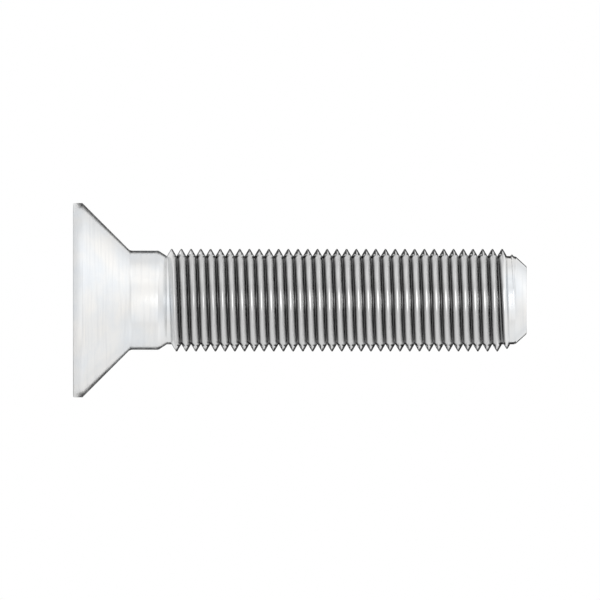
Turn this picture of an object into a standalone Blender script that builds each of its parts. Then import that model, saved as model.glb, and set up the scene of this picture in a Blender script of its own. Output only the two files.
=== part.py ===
"""Countersunk head screw, 35 mm long, with a cross recess and a fine 8 mm thread.

It is one piece of steel. It stands on its head: the flat head face is at z = 0, the thread's axis
is the Z axis and the point is up. All sizes are in metres.
"""

import math

import bmesh
import bpy
from mathutils import Matrix, Vector

# Whole screw
SCREW_LENGTH = 0.0350  # over all, head included, as countersunk screws are measured

# Head
HEAD_DIAMETER = 0.0150
RIM_THICKNESS = 0.00072  # the straight band between the flat face and the cone
CONE_ANGLE = math.radians(90)  # included angle, the same as the countersink it seats in
RIM_EDGE_RADIUS = 0.00008
UNDER_HEAD_RADIUS = 0.0004

# Plain neck between the cone and the thread
NECK_DIAMETER = 0.00765
NECK_LENGTH = 0.0022  # the straight stretch
NECK_TAPER_LENGTH = 0.00064  # the stretch that narrows to the thread's core
NECK_EDGE_RADIUS = 0.0003
NECK_STEP = 0.00002  # the taper ends this far above the core

# Thread: right-handed, one start, 60 degrees between the flanks
THREAD_DIAMETER = 0.00791  # over the crests
THREAD_PITCH = 0.00075
THREAD_ANGLE = math.radians(60)
CREST_FLAT = THREAD_PITCH / 8
ROOT_FLAT = THREAD_PITCH / 30
RUN_IN_TURNS = 0.45  # the first turn rises behind the neck in this part of a turn
RUN_OUT_TURNS = 1.2  # and the last one fades at the tip in these turns

# Tip
TIP_DIAMETER = 0.0052  # of the flat end
TIP_CHAMFER_LENGTH = 0.00083
TIP_COLLAR_LENGTH = 0.00011  # the bare band between the thread and the chamfer
TIP_COLLAR_STEP = 0.000045  # the band lies this far inside the core
TIP_EDGE_RADIUS = 0.00008

# Cross recess in the head: an evenly tapered cross that ends in a point
RECESS_DIAMETER = 0.0080  # across two wings, at the head face
WING_WIDTH = 0.0026  # at the head face
RECESS_CORNER_RADIUS = 0.00066  # of the corners between the wings, at the head face
RECESS_DEPTH = 0.00637  # of the tapered cross
RECESS_FLOOR_SHARE = 0.42  # the cross's size at that depth, as a share of its size at the face
RECESS_POINT_LENGTH = 0.00085
RECESS_OVERCUT = 0.0005  # the recess's cutter starts this far below the head face

# Smoothness
HEAD_SEGMENTS = 64
THREAD_SEGMENTS = 32  # in a turn
ARC_STEP = math.radians(25)  # about the angle of one step on a rounded edge or corner
WING_TIP_STEPS = 6
SHARP_ANGLE = math.radians(25)
WELD_DISTANCE = 1e-6

# Sizes that follow from those above
THREAD_DEPTH = (THREAD_PITCH - CREST_FLAT - ROOT_FLAT) / 2 / math.tan(THREAD_ANGLE / 2)
CORE_RADIUS = THREAD_DIAMETER / 2 - THREAD_DEPTH
CONE_LENGTH = (HEAD_DIAMETER - NECK_DIAMETER) / 2 / math.tan(CONE_ANGLE / 2)
NECK_START = RIM_THICKNESS + CONE_LENGTH
TAPER_START = NECK_START + NECK_LENGTH
THREAD_START = TAPER_START + NECK_TAPER_LENGTH
CHAMFER_START = SCREW_LENGTH - TIP_CHAMFER_LENGTH
THREAD_END = CHAMFER_START - TIP_COLLAR_LENGTH


def clear_scene():
    for obj in list(bpy.data.objects):
        bpy.data.objects.remove(obj)


def collection_named(name):
    collection = bpy.data.collections.new(name)
    bpy.context.scene.collection.children.link(collection)
    return collection


def bright_steel():
    """Bright zinc-plated steel, as pale as the drawing shows it."""
    material = bpy.data.materials.new("bright_zinc_plated_steel")
    material.use_nodes = True
    shader = material.node_tree.nodes["Principled BSDF"]
    shader.inputs["Base Color"].default_value = (0.80, 0.81, 0.82, 1)
    shader.inputs["Metallic"].default_value = 1
    shader.inputs["Roughness"].default_value = 0.3
    return material


def arc_steps(sweep):
    return max(2, round(abs(sweep) / ARC_STEP))


def rounded(points, radii):
    """A profile with the corner at each point that has a radius replaced by an arc."""
    result = []
    for index, (point, radius) in enumerate(zip(points, radii)):
        corner = Vector(point)
        if not radius:
            result.append(corner)
            continue
        before = (Vector(points[index - 1]) - corner).normalized()
        after = (Vector(points[index + 1]) - corner).normalized()
        half = before.angle(after) / 2
        centre = corner + (before + after).normalized() * radius / math.sin(half)
        start = corner + before * radius / math.tan(half) - centre
        end = corner + after * radius / math.tan(half) - centre
        sweep = -start.angle_signed(end)
        steps = arc_steps(sweep)
        for step in range(steps + 1):
            result.append(centre + Matrix.Rotation(sweep * step / steps, 2) @ start)
    return result


def object_from(mesh, name, collection):
    obj = bpy.data.objects.new(name, mesh)
    collection.objects.link(obj)
    return obj


def solid_from(bm, name, collection):
    """The shape as a new object with its faces pointing out."""
    bmesh.ops.recalc_face_normals(bm, faces=bm.faces)
    mesh = bpy.data.meshes.new(name)
    bm.to_mesh(mesh)
    bm.free()
    return object_from(mesh, name, collection)


def turned(name, profile, segments, collection):
    """A solid turned about the Z axis from a profile of (radius, z) points, listed top to bottom."""
    mesh = bpy.data.meshes.new(name)
    points = [(radius, 0, z) for radius, z in profile]
    edges = [(index, index + 1) for index in range(len(points) - 1)]
    mesh.from_pydata(points, edges, [])
    obj = object_from(mesh, name, collection)
    screw = obj.modifiers.new("turn", "SCREW")
    screw.steps = segments
    screw.render_steps = segments
    screw.use_merge_vertices = True
    screw.merge_threshold = WELD_DISTANCE
    return obj


def head_and_neck(collection):
    """Head, cone and plain neck, down to where the thread starts."""
    neck = NECK_DIAMETER / 2
    rim = HEAD_DIAMETER / 2
    points = [
        (0, THREAD_START),
        (CORE_RADIUS + NECK_STEP, THREAD_START),
        (neck, TAPER_START),
        (neck, NECK_START),
        (rim, RIM_THICKNESS),
        (rim, 0),
        (0, 0),
    ]
    radii = [0, 0, NECK_EDGE_RADIUS, UNDER_HEAD_RADIUS, RIM_EDGE_RADIUS, RIM_EDGE_RADIUS, 0]
    return turned("countersunk_screw", rounded(points, radii), HEAD_SEGMENTS, collection)


def core_and_tip(collection):
    """The core that carries the thread, from inside the neck to the chamfered end."""
    collar = CORE_RADIUS - TIP_COLLAR_STEP
    points = [
        (0, SCREW_LENGTH),
        (TIP_DIAMETER / 2, SCREW_LENGTH),
        (collar, CHAMFER_START),
        (collar, THREAD_END),
        (CORE_RADIUS, THREAD_END),
        (CORE_RADIUS, TAPER_START),
        (0, TAPER_START),
    ]
    radii = [0, TIP_EDGE_RADIUS, 0, 0, 0, 0, 0]
    return turned("core_and_tip", rounded(points, radii), THREAD_SEGMENTS, collection)


def thread_section(bm, turns, share):
    """One section of the ridge, so many turns from its start and at a share of its full height."""
    sink = ROOT_FLAT / 2
    foot = CORE_RADIUS - sink
    crest = foot + sink / 2 + (THREAD_DEPTH + sink / 2) * share
    crest_half = CREST_FLAT / 2
    foot_half = crest_half + (crest - foot) * math.tan(THREAD_ANGLE / 2)
    z = THREAD_START + THREAD_PITCH * turns
    turn = Matrix.Rotation(2 * math.pi * turns, 3, "Z")
    profile = [(foot, -foot_half), (crest, -crest_half), (crest, crest_half), (foot, foot_half)]
    return [bm.verts.new(turn @ Vector((radius, 0, z + rise))) for radius, rise in profile]


def thread_ridge(collection):
    """The thread as a ridge wound on the core, which rises from it and sinks back into it."""
    all_turns = (THREAD_END - THREAD_START) / THREAD_PITCH
    steps = int(all_turns * THREAD_SEGMENTS)
    bm = bmesh.new()
    sections = []
    for step in range(steps + 1):
        turns = step / THREAD_SEGMENTS
        share = min(1, turns / RUN_IN_TURNS, (steps / THREAD_SEGMENTS - turns) / RUN_OUT_TURNS)
        sections.append(thread_section(bm, turns, share))
    for one, following in zip(sections, sections[1:]):
        for corner in range(4):
            after = (corner + 1) % 4
            bm.faces.new((one[corner], one[after], following[after], following[corner]))
    bm.faces.new(sections[0])
    bm.faces.new(sections[-1])
    return solid_from(bm, "thread_ridge", collection)


def cross_outline():
    """The recess at the head face: four wings with round ends and rounded corners between them."""
    radius = RECESS_DIAMETER / 2
    tip_angle = math.asin(WING_WIDTH / RECESS_DIAMETER)
    corner = WING_WIDTH / 2 + RECESS_CORNER_RADIUS
    corner_steps = arc_steps(math.pi / 2)
    outline = []
    for wing in range(4):
        turn = Matrix.Rotation(wing * math.pi / 2, 2)
        for step in range(WING_TIP_STEPS + 1):
            angle = tip_angle * (2 * step / WING_TIP_STEPS - 1)
            outline.append(turn @ Vector((math.cos(angle), math.sin(angle))) * radius)
        for step in range(corner_steps + 1):
            angle = math.pi / 2 * step / corner_steps
            inward = Vector((math.sin(angle), math.cos(angle))) * RECESS_CORNER_RADIUS
            outline.append(turn @ (Vector((corner, corner)) - inward))
    return outline


def lifted(bm, face, height):
    """Extrudes one face up by a height and gives the new end face."""
    extruded = bmesh.ops.extrude_face_region(bm, geom=[face])["geom"]
    end = next(item for item in extruded if isinstance(item, bmesh.types.BMFace))
    bmesh.ops.translate(bm, verts=end.verts, vec=(0, 0, height))
    return end


def cross_recess(collection):
    """The shape that the recess punch leaves, from a little below the head face to its point."""
    taper = (1 - RECESS_FLOOR_SHARE) / RECESS_DEPTH
    mouth_share = 1 + taper * RECESS_OVERCUT
    bm = bmesh.new()
    outline = [(*point * mouth_share, -RECESS_OVERCUT) for point in cross_outline()]
    mouth = bm.faces.new([bm.verts.new(point) for point in outline])
    floor = lifted(bm, mouth, RECESS_OVERCUT + RECESS_DEPTH)
    share = RECESS_FLOOR_SHARE / mouth_share
    bmesh.ops.scale(bm, vec=(share, share, 1), verts=floor.verts)
    end = lifted(bm, floor, RECESS_POINT_LENGTH)
    bmesh.ops.delete(bm, geom=[floor], context="FACES_ONLY")
    point = (0, 0, RECESS_DEPTH + RECESS_POINT_LENGTH)
    bmesh.ops.pointmerge(bm, verts=end.verts, merge_co=point)
    return solid_from(bm, "cross_recess", collection)


def boolean(obj, other, operation):
    modifier = obj.modifiers.new(other.name, "BOOLEAN")
    modifier.operation = operation
    modifier.solver = "EXACT"
    modifier.object = other


def weld(obj):
    """Joins the points that a union leaves all but together, where edge meets edge."""
    modifier = obj.modifiers.new("weld", "WELD")
    modifier.merge_threshold = WELD_DISTANCE


def finished(obj):
    """Builds the modifiers into the mesh and shades it smooth, apart from its sharp edges."""
    graph = bpy.context.evaluated_depsgraph_get()
    mesh = bpy.data.meshes.new_from_object(obj.evaluated_get(graph))
    mesh.name = obj.name
    obj.modifiers.clear()
    obj.data = mesh
    mesh.shade_smooth()
    mesh.set_sharp_from_angle(angle=SHARP_ANGLE)


def main():
    clear_scene()
    parts = collection_named("countersunk_head_screw")
    helpers = collection_named("shapes_joined_or_cut")
    screw = head_and_neck(parts)
    core = core_and_tip(helpers)
    thread = thread_ridge(helpers)
    recess = cross_recess(helpers)
    for helper in (core, thread, recess):
        helper.hide_render = True
        helper.display_type = "WIRE"
    boolean(core, thread, "UNION")
    weld(core)
    boolean(screw, core, "UNION")
    boolean(screw, recess, "DIFFERENCE")
    weld(screw)
    finished(screw)
    screw.data.materials.append(bright_steel())


main()
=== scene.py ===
import math

import bmesh
import bpy
from mathutils import Matrix, Vector


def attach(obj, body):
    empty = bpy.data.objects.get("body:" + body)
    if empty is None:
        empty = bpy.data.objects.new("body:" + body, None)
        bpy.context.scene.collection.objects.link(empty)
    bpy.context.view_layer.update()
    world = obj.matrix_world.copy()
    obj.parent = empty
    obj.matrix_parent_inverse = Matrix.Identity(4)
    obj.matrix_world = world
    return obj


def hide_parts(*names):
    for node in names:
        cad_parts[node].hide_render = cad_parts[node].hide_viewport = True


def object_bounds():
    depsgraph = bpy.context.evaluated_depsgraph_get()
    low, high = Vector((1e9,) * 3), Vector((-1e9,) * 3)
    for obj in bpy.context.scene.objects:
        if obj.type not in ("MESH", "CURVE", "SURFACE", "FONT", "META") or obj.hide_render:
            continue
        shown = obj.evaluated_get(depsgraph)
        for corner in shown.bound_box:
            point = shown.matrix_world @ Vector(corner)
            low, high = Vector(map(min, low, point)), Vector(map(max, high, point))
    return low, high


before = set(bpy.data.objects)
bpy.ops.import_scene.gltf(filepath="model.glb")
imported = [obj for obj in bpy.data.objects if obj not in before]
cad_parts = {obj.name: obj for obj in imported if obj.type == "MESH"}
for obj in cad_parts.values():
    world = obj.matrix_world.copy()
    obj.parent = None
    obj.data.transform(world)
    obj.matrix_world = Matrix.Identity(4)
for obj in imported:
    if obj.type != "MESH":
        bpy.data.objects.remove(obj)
cad_low, cad_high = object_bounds()
bpy.ops.object.select_all(action="DESELECT")

# Screw blank
# The real piece starts as a length of steel wire. A die presses the flat head and its 90 degree cone
# on one end, and the plain neck, the thread's core and the chamfered end are turned below it.

CLOSE = 2e-6  # two places nearer than this are the same place
SEGMENTS = 128  # round the screw, also in each turn of its thread

HEAD_RADIUS = cad_high.x
SCREW_LENGTH = cad_high.z
RIM_THICKNESS = 0.00072
CONE_LENGTH = 0.003675
NECK_RADIUS = 0.003825
NECK_LENGTH = 0.0022
TAPER_LENGTH = 0.00064
CORE_RADIUS = 0.003408
COLLAR_RADIUS = 0.003363
COLLAR_LENGTH = 0.00011
CHAMFER_LENGTH = 0.00083
END_RADIUS = 0.0026
RIM_EDGE_RADIUS = 0.00008
UNDER_HEAD_RADIUS = 0.0004
NECK_EDGE_RADIUS = 0.0003
COLLAR_EDGE_RADIUS = 0.0001
END_EDGE_RADIUS = 0.00008

NECK_START = RIM_THICKNESS + CONE_LENGTH
TAPER_START = NECK_START + NECK_LENGTH
THREAD_START = TAPER_START + TAPER_LENGTH
CHAMFER_START = SCREW_LENGTH - CHAMFER_LENGTH
THREAD_END = CHAMFER_START - COLLAR_LENGTH


def start_editing(obj):
    """Opens one object in edit mode with nothing selected, and gives its mesh."""
    bpy.ops.object.select_all(action="DESELECT")
    obj.select_set(True)
    bpy.context.view_layer.objects.active = obj
    bpy.ops.object.mode_set(mode="EDIT")
    bpy.ops.mesh.select_all(action="DESELECT")
    return bmesh.from_edit_mesh(obj.data)


def stop_editing():
    """Closes edit mode, which writes the mesh back to its object."""
    bpy.ops.object.mode_set(mode="OBJECT")


def is_at(vert, radius, height):
    """Whether a point lies at a distance from the screw's axis and at a height."""
    return abs(vert.co.xy.length - radius) < CLOSE and abs(vert.co.z - height) < CLOSE


def select_ring(obj, radius, height):
    """Selects the ring of edges at a distance from the screw's axis and at a height."""
    bpy.ops.mesh.select_all(action="DESELECT")
    mesh = bmesh.from_edit_mesh(obj.data)
    for edge in mesh.edges:
        if all(is_at(vert, radius, height) for vert in edge.verts):
            edge.select_set(True)
    bmesh.update_edit_mesh(obj.data)


def round_ring(obj, radius, height, edge_radius, bend):
    """Rounds a ring of edges to a radius, where the surface bends by an angle in degrees."""
    select_ring(obj, radius, height)
    width = edge_radius * math.tan(math.radians(bend) / 2)
    bpy.ops.mesh.bevel(offset=width, segments=4, affect="EDGES")


def turned_blank():
    """The head's rim as a short cylinder, drawn out to the screw's end and rounded at its edges."""
    bpy.ops.mesh.primitive_cylinder_add(
        vertices=SEGMENTS,
        radius=HEAD_RADIUS,
        depth=RIM_THICKNESS,
        location=(0, 0, RIM_THICKNESS / 2),
    )
    blank = bpy.context.object
    blank.name = "screw"
    bpy.ops.object.transform_apply(location=True)
    mesh = start_editing(blank)
    for face in mesh.faces:
        face.select_set(face.normal.z > 0.9)
    bmesh.update_edit_mesh(blank.data)
    # Each stretch has a length and the radius at its upper end.
    stretches = [
        (CONE_LENGTH, NECK_RADIUS),
        (NECK_LENGTH, NECK_RADIUS),
        (TAPER_LENGTH, CORE_RADIUS),
        (THREAD_END - THREAD_START, CORE_RADIUS),
        (0, COLLAR_RADIUS),
        (COLLAR_LENGTH, COLLAR_RADIUS),
        (CHAMFER_LENGTH, END_RADIUS),
    ]
    radius = HEAD_RADIUS
    for length, next_radius in stretches:
        bpy.ops.mesh.extrude_region_move(TRANSFORM_OT_translate={"value": (0, 0, length)})
        share = next_radius / radius
        bpy.ops.transform.resize(value=(share, share, 1), center_override=(0, 0, 0))
        radius = next_radius
    round_ring(blank, HEAD_RADIUS, 0, RIM_EDGE_RADIUS, 90)
    round_ring(blank, HEAD_RADIUS, RIM_THICKNESS, RIM_EDGE_RADIUS, 45)
    round_ring(blank, NECK_RADIUS, NECK_START, UNDER_HEAD_RADIUS, 45)
    round_ring(blank, NECK_RADIUS, TAPER_START, NECK_EDGE_RADIUS, 33)
    round_ring(blank, COLLAR_RADIUS, CHAMFER_START, COLLAR_EDGE_RADIUS, 43)
    round_ring(blank, END_RADIUS, SCREW_LENGTH, END_EDGE_RADIUS, 47)
    stop_editing()
    return blank


def apply_modifier(obj, kind, **settings):
    """Adds a modifier with its settings and builds it into the mesh."""
    bpy.ops.object.select_all(action="DESELECT")
    bpy.context.view_layer.objects.active = obj
    modifier = obj.modifiers.new("step", kind)
    for name, value in settings.items():
        setattr(modifier, name, value)
    bpy.ops.object.modifier_apply(modifier=modifier.name)


def combine(obj, other, operation):
    """Joins another closed shape to a shape or cuts it from it, and removes the other one."""
    apply_modifier(obj, "BOOLEAN", operation=operation, solver="EXACT", object=other)
    bpy.data.objects.remove(other)
    apply_modifier(obj, "WELD", merge_threshold=1e-6)


screw = turned_blank()

# Cross recess
# A four-winged punch leaves it in the head face while the head is pressed. Its walls narrow evenly
# to 0.42 of the mouth, its floor is a shallow point, and the mouth's edge is slightly rounded over.

RECESS_RADIUS = 0.0040
WING_WIDTH = 0.0026
WING_CORNER_RADIUS = 0.00066
RECESS_DEPTH = 0.00637
RECESS_FLOOR_SHARE = 0.42
RECESS_POINT_LENGTH = 0.00085
MOUTH_EDGE_RADIUS = 0.00006
PUNCH_OVERCUT = 0.0005  # the punch reaches this far below the head's face, for a clean cut


def cross_punch():
    """The punch with straight walls first, then narrowed to its floor and drawn out to a point."""
    bpy.ops.mesh.primitive_cube_add(size=1, location=(0, 0, RECESS_DEPTH / 2))
    punch = bpy.context.object
    punch.scale = (WING_WIDTH, WING_WIDTH, RECESS_DEPTH)
    bpy.ops.object.transform_apply(location=True, scale=True)
    mesh = start_editing(punch)
    for face in mesh.faces:
        face.select_set(abs(face.normal.z) < 0.1)
    bmesh.update_edit_mesh(punch.data)
    # The wings first reach a quarter too far, and a cylinder then cuts their ends round.
    wing_length = RECESS_RADIUS - WING_WIDTH / 2 + RECESS_RADIUS / 4
    bpy.ops.mesh.extrude_faces_move(TRANSFORM_OT_shrink_fatten={"value": wing_length})
    bpy.ops.mesh.select_all(action="DESELECT")
    # The four upright edges between the wings are rounded. They were the edges of the first cube.
    mesh = bmesh.from_edit_mesh(punch.data)
    corner_radius = WING_WIDTH / math.sqrt(2)
    for edge in mesh.edges:
        upright = abs(edge.verts[0].co.z - edge.verts[1].co.z) > CLOSE
        if upright and all(abs(vert.co.xy.length - corner_radius) < CLOSE for vert in edge.verts):
            edge.select_set(True)
    bmesh.update_edit_mesh(punch.data)
    bpy.ops.mesh.bevel(offset=WING_CORNER_RADIUS, segments=8, affect="EDGES")
    stop_editing()
    bpy.ops.mesh.primitive_cylinder_add(
        vertices=SEGMENTS,
        radius=RECESS_RADIUS,
        depth=2 * RECESS_DEPTH,
        location=(0, 0, RECESS_DEPTH / 2),
    )
    combine(punch, bpy.context.object, "INTERSECT")
    taper_punch(punch)
    return punch


def taper_punch(punch):
    """Narrows the punch's upper end, draws it out to a point and lengthens the lower end."""
    mesh = start_editing(punch)
    for vert in mesh.verts:
        vert.select_set(vert.co.z > RECESS_DEPTH / 2)
    mesh.select_flush(True)
    bmesh.update_edit_mesh(punch.data)
    share = RECESS_FLOOR_SHARE
    bpy.ops.transform.resize(value=(share, share, 1), center_override=(0, 0, 0))
    bpy.ops.mesh.extrude_region_move(TRANSFORM_OT_translate={"value": (0, 0, RECESS_POINT_LENGTH)})
    bpy.ops.mesh.merge(type="CENTER")
    bpy.ops.mesh.select_all(action="DESELECT")
    mesh = bmesh.from_edit_mesh(punch.data)
    for vert in mesh.verts:
        vert.select_set(abs(vert.co.z) < CLOSE)
    mesh.select_flush(True)
    bmesh.update_edit_mesh(punch.data)
    share = 1 + (1 - RECESS_FLOOR_SHARE) * PUNCH_OVERCUT / RECESS_DEPTH
    bpy.ops.transform.translate(value=(0, 0, -PUNCH_OVERCUT))
    bpy.ops.transform.resize(value=(share, share, 1), center_override=(0, 0, 0))
    stop_editing()


def round_recess_mouth(obj):
    """Rounds the edges between the head's face and the walls of the recess."""
    mesh = start_editing(obj)
    for edge in mesh.edges:
        if all(abs(v.co.z) < CLOSE and v.co.xy.length < RECESS_RADIUS * 1.1 for v in edge.verts):
            edge.select_set(any(face.normal.z > -0.9 for face in edge.link_faces))
    bmesh.update_edit_mesh(obj.data)
    bpy.ops.mesh.bevel(offset=MOUTH_EDGE_RADIUS, segments=3, affect="EDGES")
    stop_editing()


combine(screw, cross_punch(), "DIFFERENCE")
round_recess_mouth(screw)

# Thread
# It is rolled on the core between two dies: a right-handed ridge with 60 degrees between its flanks,
# 0.75 mm from turn to turn, with slightly rounded crests. It rises at the neck and fades at the end.

THREAD_RADIUS = 0.003955
THREAD_PITCH = 0.00075
FLANK_SLOPE = math.tan(math.radians(30))
CREST_FLAT = THREAD_PITCH / 8
CREST_EDGE_RADIUS = 0.00002
ROOT_SINK = 0.0000125  # the ridge's foot lies this far inside the core
RUN_IN_TURNS = 0.45
RUN_OUT_TURNS = 1.2
SHARP_ANGLE = math.radians(28)  # edges that bend by more than this stay sharp


def ridge_section():
    """The ridge's outline at the thread's start: a plane set upright, with its outer end narrowed."""
    foot = CORE_RADIUS - ROOT_SINK
    height = THREAD_RADIUS - foot
    foot_width = CREST_FLAT + 2 * height * FLANK_SLOPE
    bpy.ops.mesh.primitive_plane_add(size=1, location=(foot + height / 2, 0, THREAD_START))
    section = bpy.context.object
    section.rotation_euler.x = math.pi / 2
    section.scale = (height, foot_width, 1)
    bpy.ops.object.transform_apply(location=True, rotation=True, scale=True)
    mesh = start_editing(section)
    for vert in mesh.verts:
        vert.select_set(abs(vert.co.x - THREAD_RADIUS) < CLOSE)
    mesh.select_flush(True)
    bmesh.update_edit_mesh(section.data)
    share = CREST_FLAT / foot_width
    bpy.ops.transform.resize(value=(1, 1, share), center_override=(0, 0, THREAD_START))
    bpy.ops.mesh.bevel(offset=CREST_EDGE_RADIUS, segments=3, affect="VERTICES")
    bpy.ops.mesh.select_all(action="SELECT")
    bpy.ops.mesh.delete(type="ONLY_FACE")
    stop_editing()
    return section


def close_ends(obj):
    """Fills the two open ends of the swept ridge and turns all its faces outwards."""
    start_editing(obj)
    bpy.ops.mesh.select_non_manifold(extend=False, use_wire=False, use_multi_face=False)
    bpy.ops.mesh.fill_holes(sides=0)
    bpy.ops.mesh.select_all(action="SELECT")
    bpy.ops.mesh.normals_make_consistent(inside=False)
    stop_editing()


def sink_ends(obj, all_turns):
    """Draws the ridge's first and last turns into the core, so that it rises and fades there."""
    # A point's angle gives its part of a turn, and its height tells which turn that is.
    for vert in obj.data.vertices:
        part = math.atan2(vert.co.y, vert.co.x) / math.tau
        along = (vert.co.z - THREAD_START) / THREAD_PITCH
        turns = part + round(along - part)
        share = min(1, turns / RUN_IN_TURNS, (all_turns - turns) / RUN_OUT_TURNS)
        drop = (1 - share) * (THREAD_RADIUS - CORE_RADIUS + ROOT_SINK)
        radius = vert.co.xy.length
        vert.co.xy *= (radius - drop) / radius


def thread_ridge():
    """The ridge, swept up and round the core from its outline, as a closed shape."""
    steps = int((THREAD_END - THREAD_START) / THREAD_PITCH * SEGMENTS)
    turns = steps / SEGMENTS
    ridge = ridge_section()
    apply_modifier(
        ridge,
        "SCREW",
        angle=math.tau * turns,
        screw_offset=THREAD_PITCH * turns,
        steps=steps,
        render_steps=steps,
        iterations=1,
        use_merge_vertices=False,
    )
    close_ends(ridge)
    sink_ends(ridge, turns)
    return ridge


combine(screw, thread_ridge(), "UNION")
bpy.ops.object.select_all(action="DESELECT")
bpy.context.view_layer.objects.active = screw
screw.select_set(True)
bpy.ops.object.shade_smooth_by_angle(angle=SHARP_ANGLE)

# Zinc plating
# The whole screw is carbon steel, barrel-plated with about 8 microns of bright zinc and passivated
# clear. It hides no detail of the steel under it.


def linear(hex_colour):
    """A written sRGB colour as the linear values that a shader takes."""
    values = [int(hex_colour[start:start + 2], 16) / 255 for start in (1, 3, 5)]
    return [v / 12.92 if v <= 0.04045 else ((v + 0.055) / 1.055) ** 2.4 for v in values] + [1]


def add_node(tree, kind, settings=None, links=None):
    """Adds a node, sets its properties or inputs, links its inputs to outputs, and gives the node."""
    node = tree.nodes.new("ShaderNode" + kind)
    for name, value in (settings or {}).items():
        if isinstance(name, str) and hasattr(node, name):
            setattr(node, name, value)
        else:
            node.inputs[name].default_value = value
    for name, output in (links or {}).items():
        tree.links.new(output, node.inputs[name])
    return node


# Bright zinc is a pale silver with a satin shine, a little blue in some places and warm in others.
# Faint lines run round the axis. The thread is glossier, with duller crests, and its roots are darkened
# with painted shade.
zinc = bpy.data.materials.new("bright_zinc_plated_steel")
zinc.use_nodes = True
tree = zinc.node_tree
shader = tree.nodes["Principled BSDF"]
shader.inputs["Metallic"].default_value = 1
place = add_node(tree, "TexCoord").outputs["Object"]
split = add_node(tree, "SeparateXYZ", links={0: place}).outputs
height = split["Z"]
across = add_node(tree, "VectorMath", {"operation": "MULTIPLY", 1: (1, 1, 0)}, {0: place}).outputs[0]
radius = add_node(tree, "VectorMath", {"operation": "LENGTH"}, {0: across}).outputs["Value"]
# The recess narrows upwards, so this is the same all the way up the ends of its wings.
wall_slope = RECESS_RADIUS * (1 - RECESS_FLOOR_SHARE) / RECESS_DEPTH
wall_radius = add_node(
    tree, "Math", {"operation": "MULTIPLY_ADD", 1: wall_slope}, {0: height, 2: radius}
).outputs[0]

# Each mask is 0 at its first place and 1 at its second, and then two masks make one.
mask = {}
for name, value, nothing, full in [
    ("past the neck", height, THREAD_START + 0.0002, THREAD_START + 0.0007),
    ("before the end", height, THREAD_END - 0.0005, THREAD_END - 0.0009),
    # Painted shade: this mask picks out the thread near its core, where the roots are painted dark.
    ("near the core for painted shade", radius, CORE_RADIUS + 0.00034, CORE_RADIUS + 0.00008),
    ("high up", radius, THREAD_RADIUS - 0.00006, THREAD_RADIUS - 0.00002),
    ("inside the wings", wall_radius, RECESS_RADIUS + 0.00015, RECESS_RADIUS + 0.00005),
    ("off the face", height, 0.00002, 0.0003),
]:
    ends = {"From Min": nothing, "From Max": full}
    mask[name] = add_node(tree, "MapRange", ends, {"Value": value}).outputs[0]
for name, first, second in [
    ("thread", "past the neck", "before the end"),
    # The root mask carries painted shade, not a colour of the plate.
    ("root", "thread", "near the core for painted shade"),
    ("crest", "thread", "high up"),
    ("recess", "inside the wings", "off the face"),
]:
    inputs = {0: mask[first], 1: mask[second]}
    mask[name] = add_node(tree, "Math", {"operation": "MULTIPLY"}, inputs).outputs[0]

# Lines round the axis, from the dies and the lathe. Real ones are about 0.05 mm apart, which is too
# fine to show, so these are drawn 0.25 mm apart. They fade in and out over a few millimetres.
slowly = add_node(tree, "Math", {"operation": "MULTIPLY", 1: 0.06}, {0: split["X"]}).outputs[0]
unrolled = add_node(tree, "CombineXYZ", links={"X": radius, "Y": slowly, "Z": height}).outputs[0]
lines = add_node(tree, "TexNoise", {"Scale": 4000, "Detail": 3}, {"Vector": unrolled}).outputs["Fac"]
mask["line"] = add_node(
    tree, "MapRange", {"From Min": 0.5, "From Max": 0.75, "To Max": 0.4}, {"Value": lines}
).outputs[0]
# Grain of the plate, drawn 0.2 mm wide instead of a few hundredths so that it shows
grain = add_node(tree, "TexNoise", {"Scale": 5000, "Detail": 2}, {"Vector": place}).outputs["Fac"]
# The passivated plate's tint comes and goes in clouds about 3 mm across.
clouds = add_node(tree, "TexNoise", {"Scale": 350, "Detail": 3}, {"Vector": place}).outputs["Fac"]
mask["warm"] = add_node(
    tree, "MapRange", {"From Min": 0.35, "From Max": 0.65}, {"Value": clouds}
).outputs[0]

# The colours, each laid over the last where its mask is 1. A Mix node for colours keeps its inputs
# and its output at these places in its lists.
FACTOR = 0
FIRST_COLOUR = 6
SECOND_COLOUR = 7
MIXED_COLOUR = 2
colour = add_node(
    tree,
    "Mix",
    {"data_type": "RGBA", FIRST_COLOUR: linear("#D9DCDF"), SECOND_COLOUR: linear("#E3E2E0")},
    {FACTOR: mask["warm"]},
).outputs[MIXED_COLOUR]
for name, hex_colour in [
    ("line", "#CDCFD1"),
    ("thread", "#E2E2E2"),
    ("crest", "#C9C9C9"),
    # Painted shade: the thread's roots are coloured dark grey, as shade falls between the flanks.
    ("root", "#6E6E6E"),
    ("recess", "#C4C6C8"),
]:
    settings = {"data_type": "RGBA", SECOND_COLOUR: linear(hex_colour)}
    links = {FACTOR: mask[name], FIRST_COLOUR: colour}
    colour = add_node(tree, "Mix", settings, links).outputs[MIXED_COLOUR]
tree.links.new(colour, shader.inputs["Base Color"])

# The steel is smoother from the thread to the end than it is at the head, because rolling dies burnish
# the thread and a cutting tool turns the end. The plate is duller down in the recess.
smoother = {"To Min": 1, "To Max": 0.6}
burnished = add_node(tree, "MapRange", smoother, {"Value": mask["past the neck"]}).outputs[0]
dulled = add_node(tree, "MapRange", {"To Min": 1, "To Max": 1.6}, {"Value": mask["recess"]}).outputs[0]
coarseness = add_node(tree, "Math", {"operation": "MULTIPLY"}, {0: burnished, 1: dulled}).outputs[0]
marks = add_node(tree, "Math", {"operation": "ADD"}, {0: lines, 1: grain}).outputs[0]
satin_range = {"From Min": 0.6, "From Max": 1.4, "To Min": 0.17, "To Max": 0.27}
satin = add_node(tree, "MapRange", satin_range, {"Value": marks}).outputs[0]
roughness = add_node(tree, "Math", {"operation": "MULTIPLY"}, {0: satin, 1: coarseness}).outputs[0]
tree.links.new(roughness, shader.inputs["Roughness"])
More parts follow.
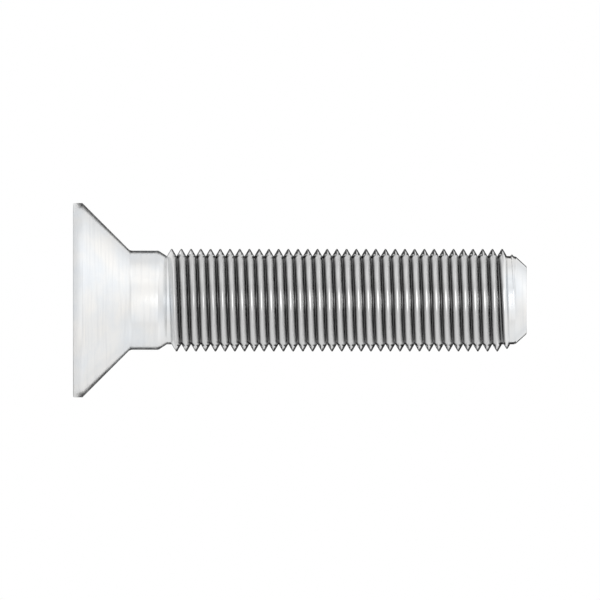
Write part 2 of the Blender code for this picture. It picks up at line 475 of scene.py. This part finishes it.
# The lines are 6 times as deep as the grain.
relief = add_node(tree, "Math", {"operation": "MULTIPLY_ADD", 1: 6}, {0: lines, 2: grain}).outputs[0]
relief = add_node(tree, "Math", {"operation": "MULTIPLY"}, {0: relief, 1: coarseness}).outputs[0]
bumps = add_node(tree, "Bump", {"Strength": 1, "Distance": 0.000001}, {"Height": relief}).outputs[0]
tree.links.new(bumps, shader.inputs["Normal"])

screw.data.materials.clear()
screw.data.materials.append(zinc)
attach(screw, "root")
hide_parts("countersunk_screw")

# Floor
# The screw stands on a wide sheet of board with a matt white face. Its top is drawn just below the
# head's face, so that the two don't lie in one plane.

FLOOR_WIDTH = 3
FLOOR_HEIGHT = -0.00002

bpy.ops.mesh.primitive_plane_add(size=FLOOR_WIDTH, location=(0, 0, FLOOR_HEIGHT))
floor = bpy.context.object
floor.name = "floor"
bpy.ops.object.transform_apply(location=True)
# Pale matt board is white and even. It has no shine, and takes a soft shadow.
board = bpy.data.materials.new("pale_matt_board")
board.use_nodes = True
board_shader = board.node_tree.nodes["Principled BSDF"]
board_shader.inputs["Base Color"].default_value = linear("#FFFFFF")
board_shader.inputs["Roughness"].default_value = 0.9
board_shader.inputs["Specular IOR Level"].default_value = 0
floor.data.materials.append(board)

# Studio light
# A white room with soft boxes that show only in the metal, and a broad lamp that lights only the
# floor. Dark cards of felt behind the screw, two upright and one lying, darken the metal's edges.

MIDDLE = Vector((0, 0, SCREW_LENGTH / 2))


def aim(obj, place, target=MIDDLE):
    """Puts a lamp at a place and points it at a target, or else at the screw's middle."""
    away = (Vector(place) - target).normalized()
    obj.location = place
    obj.rotation_euler = away.to_track_quat("Z", "Y").to_euler()


def soft_box(name, place, width, height, spread, brightness, target=MIDDLE):
    """A soft box with a grid that narrows its light to a spread in degrees. It shows only in the metal.

    Its brightness is a share of the white room's. Blender makes a lamp brighter as its spread narrows,
    and the power given here allows for that.
    """
    half = math.radians(spread / 2)
    bpy.ops.object.light_add(type="AREA")
    lamp = bpy.context.object
    lamp.name = name
    lamp.data.shape = "RECTANGLE"
    lamp.data.size = width
    lamp.data.size_y = height
    lamp.data.spread = 2 * half
    lamp.data.energy = brightness * width * height * math.pi * (1 - half / math.tan(half))
    lamp.visible_camera = False
    lamp.visible_diffuse = False
    aim(lamp, place, target)


soft_box("overhead_box", (-0.15, 0.06, 0.45), 0.9, 0.8, 90, 0.36)
soft_box("side_box", (-0.40, -0.18, 0.15), 0.6, 0.4, 70, 0.40)
soft_box("fill_box", (0.40, 0.0, 0.3), 0.7, 0.7, 90, 0.16)
soft_box("front_box", (0, -0.6, 0.02), 1.6, 0.5, 130, 0.26)
# A small box close to the thread draws a white line down its front. It points at a place 7 mm above
# the thread's middle, so that the plain neck has no such line.
THREAD_MIDDLE = (THREAD_START + THREAD_END) / 2
above_middle = Vector((0, 0, THREAD_MIDDLE + 0.007))
soft_box("strip_box", (0, -0.028, THREAD_MIDDLE), 0.032, 0.024, 56, 4.0, above_middle)

# The broad lamp gives the floor a soft shadow of the screw, and doesn't show in the metal.
bpy.ops.object.light_add(type="SUN")
room_lamp = bpy.context.object
room_lamp.name = "room_lamp"
room_lamp.data.angle = math.radians(30)
room_lamp.data.energy = 1.05
room_lamp.visible_glossy = False
aim(room_lamp, (-0.25, -0.25, 0.6))


def dark_card(name, place, width, height, lean, colour):
    """A card of dark felt, with no shine, that leans back by degrees and shows only in the metal."""
    bpy.ops.mesh.primitive_plane_add(
        size=1, location=place, rotation=(math.radians(90 - lean), 0, 0)
    )
    card = bpy.context.object
    card.name = name
    card.scale = (width, height, 1)
    bpy.ops.object.transform_apply(location=True, rotation=True, scale=True)
    felt = bpy.data.materials.new(name + "_felt")
    felt.use_nodes = True
    felt_shader = felt.node_tree.nodes["Principled BSDF"]
    felt_shader.inputs["Base Color"].default_value = linear(colour)
    felt_shader.inputs["Roughness"].default_value = 1
    card.data.materials.append(felt)
    card.visible_camera = False
    card.visible_shadow = False
    card.visible_diffuse = False


dark_card("back_card", (0, 0.4, 0.07), 0.62, 0.14, 0, "#2A2A2A")
dark_card("upper_card", (0, 0.4, 0.19), 0.21, 0.1, 0, "#2A2A2A")
dark_card("floor_card", (0, 0.1675, 0.00001), 0.1, 0.265, 90, "#303030")

# The room is plain white to the camera and in the metal, and lights the floor a little less.
world = bpy.data.worlds.new("white_room")
world.use_nodes = True
tree = world.node_tree
rays = add_node(tree, "LightPath").outputs
seen = add_node(
    tree, "Math", {"operation": "ADD"}, {0: rays["Is Camera Ray"], 1: rays["Is Glossy Ray"]}
).outputs[0]
seen = add_node(
    tree, "Math", {"operation": "ADD"}, {0: seen, 1: rays["Is Transmission Ray"]}
).outputs[0]
strength = add_node(tree, "MapRange", {"To Min": 0.7, "To Max": 1}, {"Value": seen}).outputs[0]
tree.nodes["Background"].inputs["Color"].default_value = (1, 1, 1, 1)
tree.links.new(strength, tree.nodes["Background"].inputs["Strength"])
bpy.context.scene.world = world

# Camera
# It looks straight at the screw's side with no perspective, as the drawing does, and it is turned so
# that the head is at the left. The screw's length in the picture gives the size of a pixel.

CAMERA_DISTANCE = 0.2
HALF_IMAGE = 300  # pixels, and so are the next three
SCREW_IN_IMAGE = 453.5
HEAD_FACE_FROM_LEFT = 73.08
AXIS_FROM_TOP = 300.2

PIXEL = SCREW_LENGTH / SCREW_IN_IMAGE
VIEW_CENTRE_Z = (HALF_IMAGE - HEAD_FACE_FROM_LEFT) * PIXEL
VIEW_CENTRE_X = (HALF_IMAGE - AXIS_FROM_TOP) * PIXEL

camera_data = bpy.data.cameras.new("camera")
camera_data.type = "ORTHO"
camera_data.ortho_scale = 2 * HALF_IMAGE * PIXEL
camera_data.clip_start = 0.001
camera_data.clip_end = 10
camera = bpy.data.objects.new("camera", camera_data)
bpy.context.scene.collection.objects.link(camera)
image_right = Vector((0, 0, 1))
image_up = Vector((-1, 0, 0))
towards_camera = image_right.cross(image_up)
turned = Matrix((image_right, image_up, towards_camera)).transposed().to_4x4()
view_centre = Vector((VIEW_CENTRE_X, 0, VIEW_CENTRE_Z))
turned.translation = view_centre + towards_camera * CAMERA_DISTANCE
camera.matrix_world = turned
bpy.context.scene.camera = camera
bpy.context.scene.view_settings.view_transform = "Standard"
